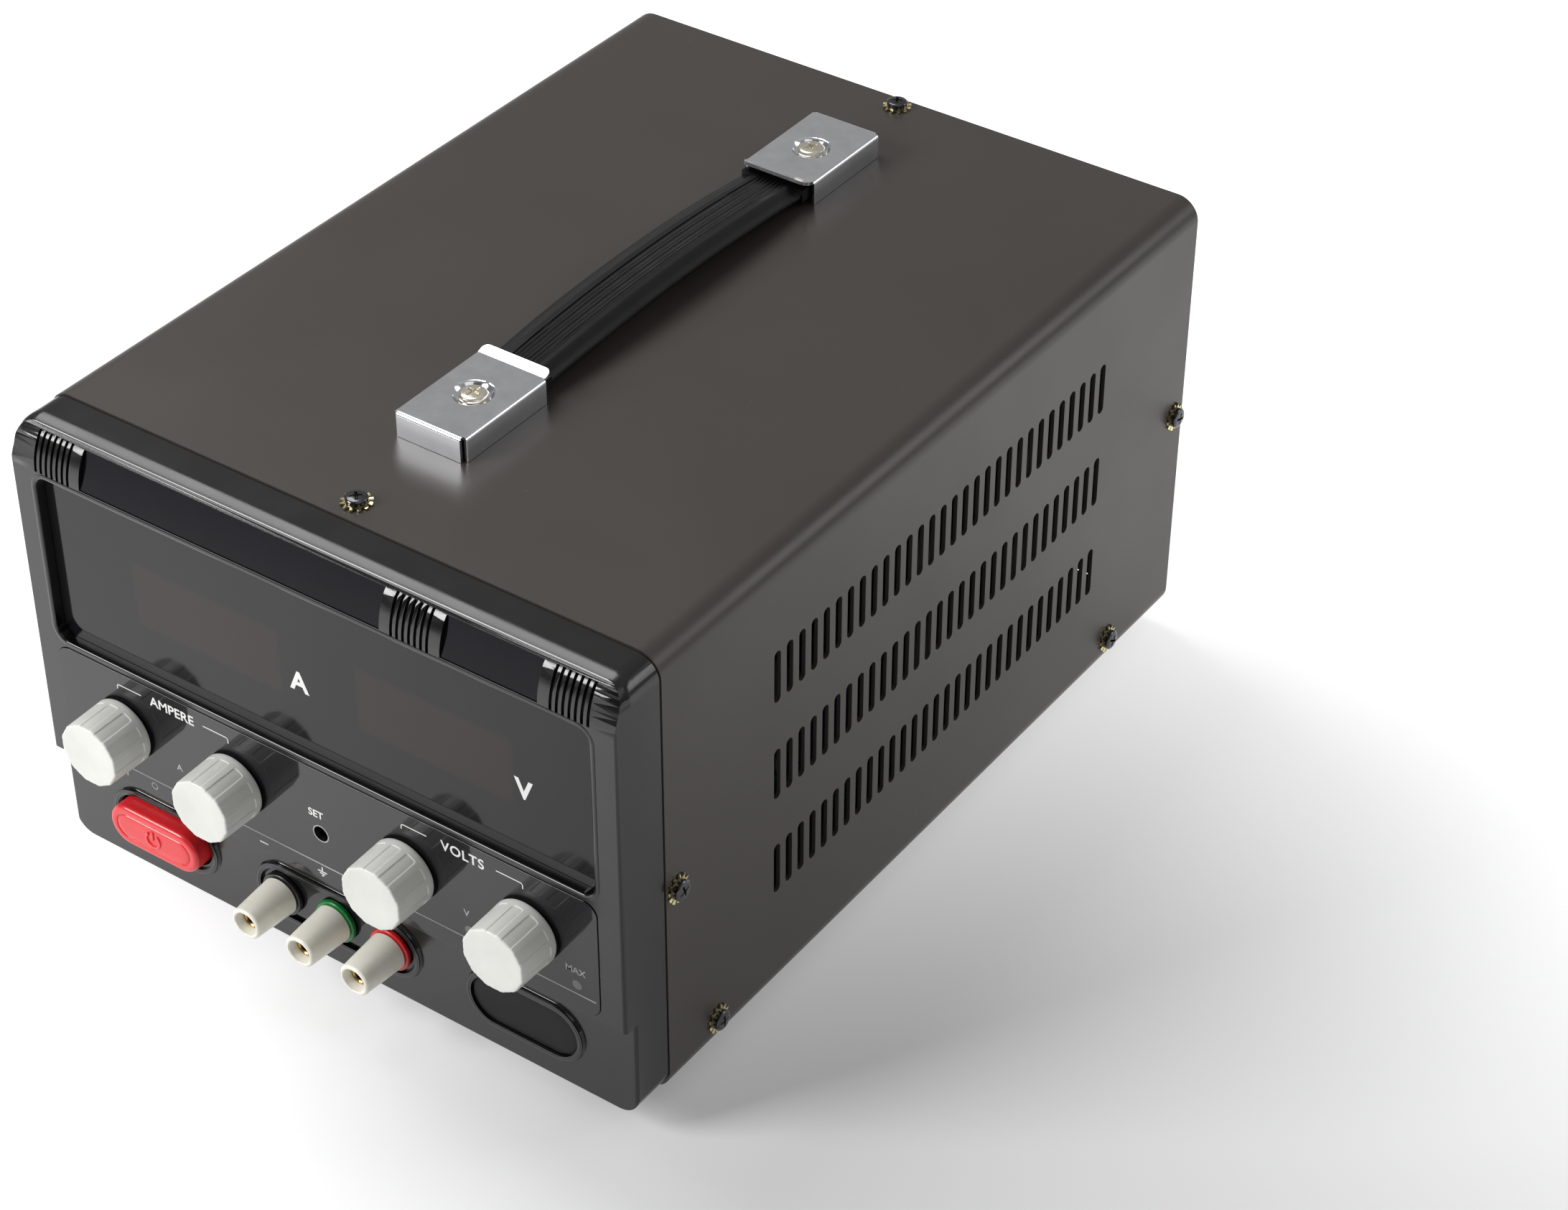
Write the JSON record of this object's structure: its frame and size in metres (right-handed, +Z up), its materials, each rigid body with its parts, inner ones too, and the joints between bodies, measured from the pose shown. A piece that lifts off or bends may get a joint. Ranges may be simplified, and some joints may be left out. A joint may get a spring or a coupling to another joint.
{
  "type": "bench power supply",
  "caption": "Mains bench power supply in a dark steel case with a moulded front bezel, smoked display window, ivory control knobs, binding posts, red push switch, fan and strap handle",
  "frame": {"origin": "centre of the bounding box in X and Y, at the underside of the rubber feet", "axes": "+X to the right seen from the front, +Y from the front panel to the rear panel, +Z up"},
  "size_m": [0.2054, 0.3134, 0.161],
  "materials": {
    "case_paint": "satin dark grey-brown powder coat",
    "zinc_steel": "zinc-plated sheet",
    "black_abs": "fine spark-eroded grain",
    "smoked_acrylic": "polished smoked acrylic",
    "overlay_film": "glossy printed film",
    "nameplate_film": "plain dark film",
    "red_plastic": "satin red moulding",
    "green_plastic": "satin green moulding",
    "ivory_plastic": "satin ivory moulding",
    "black_plastic": "moulded black",
    "brass": "turned brass",
    "chrome": "bright plated pressing",
    "steel_bright": "bright turned steel",
    "black_screw": "black oxide",
    "yellow_zinc": "yellow passivated zinc",
    "rubber": "moulded rubber",
    "pvc_strap": "ribbed PVC",
    "circuit_board": "solder mask",
    "led_display": "dark red display modules",
    "lens_grey": "unlit lens",
    "iron_core": "varnished laminations",
    "copper_winding": "taped copper winding",
    "capacitor_sleeve": "shrink sleeve",
    "black_aluminium": "black anodised"
  },
  "bodies": {
    "case": {"cover": "case_paint", "base_chassis": "zinc_steel", "rear_panel": "case_paint", "bezel": "black_abs", "display_window": "smoked_acrylic", "control_overlay": "overlay_film", "nameplate_long": "nameplate_film", "nameplate_short": "nameplate_film", "power_switch": "black_plastic", "terminal_studs": "brass", "potentiometers": "steel_bright", "trimmer_body": "circuit_board", "status_leds": "lens_grey", "display_board": "circuit_board", "display_modules": "led_display", "control_board": "circuit_board", "main_board": "circuit_board", "board_standoffs": "brass", "transformer_core": "iron_core", "transformer_winding": "copper_winding", "capacitors": "capacitor_sleeve", "heatsinks": "black_aluminium", "power_transistors": "black_plastic", "fan_frame": "black_plastic", "fan_guard": "steel_bright", "fan_screws": "steel_bright", "mains_inlet": "black_plastic", "fuse_holder": "black_plastic", "rear_post_bases": "black_plastic", "rear_post_studs": "brass", "handle_brackets": "chrome", "handle_strap_ends": "pvc_strap", "handle_screws": "steel_bright", "case_screws": "black_screw", "star_washers": "yellow_zinc", "feet": "rubber", "foot_screws": "steel_bright"},
    "power_button": {"power_button": "red_plastic"},
    "knob_current_coarse_body": {"knob_current_coarse": "ivory_plastic", "shaft_current_coarse": "steel_bright"},
    "knob_current_fine_body": {"knob_current_fine": "ivory_plastic", "shaft_current_fine": "steel_bright"},
    "knob_voltage_coarse_body": {"knob_voltage_coarse": "ivory_plastic", "shaft_voltage_coarse": "steel_bright"},
    "knob_voltage_fine_body": {"knob_voltage_fine": "ivory_plastic", "shaft_voltage_fine": "steel_bright"},
    "front_ring_black": {"terminal_ring_black": "black_plastic"},
    "front_cap_minus": {"terminal_cap_minus": "ivory_plastic"},
    "front_ring_green": {"terminal_ring_green": "green_plastic"},
    "front_cap_gnd": {"terminal_cap_gnd": "ivory_plastic"},
    "front_ring_red": {"terminal_ring_red": "red_plastic"},
    "front_cap_plus": {"terminal_cap_plus": "ivory_plastic"},
    "rear_washer_black_body": {"rear_washer_black": "brass"},
    "rear_cap_black_body": {"rear_cap_black": "black_plastic"},
    "rear_washer_red_body": {"rear_washer_red": "brass"},
    "rear_cap_red_body": {"rear_cap_red": "red_plastic"},
    "fan": {"fan_rotor": "black_plastic"},
    "trimmer": {"trimmer_rotor": "lens_grey"},
    "fuse_carrier": {"fuse_cap": "black_plastic"},
    "strap": {"handle_strap": "pvc_strap"}
  },
  "joints": [
    {"name": "power_button_push", "type": "slide", "parent": "case", "child": "power_button", "axis": [0, 1, 0], "range_m": [0, 0.0032]},
    {"name": "knob_current_coarse_turn", "type": "hinge", "parent": "case", "child": "knob_current_coarse_body", "pos_m": [-0.0693, -0.14975, 0.062], "axis": [0, 1, 0], "range_deg": [-150, 150]},
    {"name": "knob_current_fine_turn", "type": "hinge", "parent": "case", "child": "knob_current_fine_body", "pos_m": [-0.0294, -0.14975, 0.062], "axis": [0, 1, 0], "range_deg": [-150, 150]},
    {"name": "knob_voltage_coarse_turn", "type": "hinge", "parent": "case", "child": "knob_voltage_coarse_body", "pos_m": [0.0294, -0.14975, 0.062], "axis": [0, 1, 0], "range_deg": [-150, 150]},
    {"name": "knob_voltage_fine_turn", "type": "hinge", "parent": "case", "child": "knob_voltage_fine_body", "pos_m": [0.0693, -0.14975, 0.062], "axis": [0, 1, 0], "range_deg": [-150, 150]},
    {"name": "front_ring_black_slide", "type": "slide", "parent": "case", "child": "front_ring_black", "axis": [0, -1, 0], "range_m": [0, 0.0021]},
    {"name": "front_cap_minus_turn", "type": "hinge", "parent": "front_ring_black", "child": "front_cap_minus", "pos_m": [-0.0198, -0.14675, 0.0252], "axis": [0, -1, 0], "range_deg": [0, 1080]},
    {"name": "front_ring_green_slide", "type": "slide", "parent": "case", "child": "front_ring_green", "axis": [0, -1, 0], "range_m": [0, 0.0021]},
    {"name": "front_cap_gnd_turn", "type": "hinge", "parent": "front_ring_green", "child": "front_cap_gnd", "pos_m": [-0.0008, -0.14675, 0.0252], "axis": [0, -1, 0], "range_deg": [0, 1080]},
    {"name": "front_ring_red_slide", "type": "slide", "parent": "case", "child": "front_ring_red", "axis": [0, -1, 0], "range_m": [0, 0.0021]},
    {"name": "front_cap_plus_turn", "type": "hinge", "parent": "front_ring_red", "child": "front_cap_plus", "pos_m": [0.0182, -0.14675, 0.0252], "axis": [0, -1, 0], "range_deg": [0, 1080]},
    {"name": "rear_washer_black_slide", "type": "slide", "parent": "case", "child": "rear_washer_black_body", "axis": [0, 1, 0], "range_m": [0, 0.00375]},
    {"name": "rear_cap_black_turn", "type": "hinge", "parent": "rear_washer_black_body", "child": "rear_cap_black_body", "pos_m": [-0.078, 0.14565, 0.099], "axis": [0, 1, 0], "range_deg": [0, 1080]},
    {"name": "rear_washer_red_slide", "type": "slide", "parent": "case", "child": "rear_washer_red_body", "axis": [0, 1, 0], "range_m": [0, 0.00375]},
    {"name": "rear_cap_red_turn", "type": "hinge", "parent": "rear_washer_red_body", "child": "rear_cap_red_body", "pos_m": [-0.038, 0.14565, 0.099], "axis": [0, 1, 0], "range_deg": [0, 1080]},
    {"name": "fan_spin", "type": "hinge", "parent": "case", "child": "fan", "pos_m": [0.052, 0.11865, 0.095], "axis": [0, 1, 0], "continuous": true},
    {"name": "trimmer_turn", "type": "hinge", "parent": "case", "child": "trimmer", "pos_m": [0, -0.13375, 0.059], "axis": [0, 1, 0], "range_deg": [-135, 135]},
    {"name": "fuse_carrier_turn", "type": "hinge", "parent": "case", "child": "fuse_carrier", "pos_m": [-0.026, 0.13665, 0.041], "axis": [0, 1, 0], "range_deg": [0, 60]},
    {"name": "strap_lift", "type": "slide", "parent": "case", "child": "strap", "axis": [0, 0, 1], "range_m": [0, 0.008]}
  ],
  "couplings": [
    {"joint": "front_cap_minus_turn", "follows": "front_ring_black_slide", "rad_per_m": 8976},
    {"joint": "front_cap_gnd_turn", "follows": "front_ring_green_slide", "rad_per_m": 8976},
    {"joint": "front_cap_plus_turn", "follows": "front_ring_red_slide", "rad_per_m": 8976},
    {"joint": "rear_cap_black_turn", "follows": "rear_washer_black_slide", "rad_per_m": 5026.5},
    {"joint": "rear_cap_red_turn", "follows": "rear_washer_red_slide", "rad_per_m": 5026.5}
  ]
}
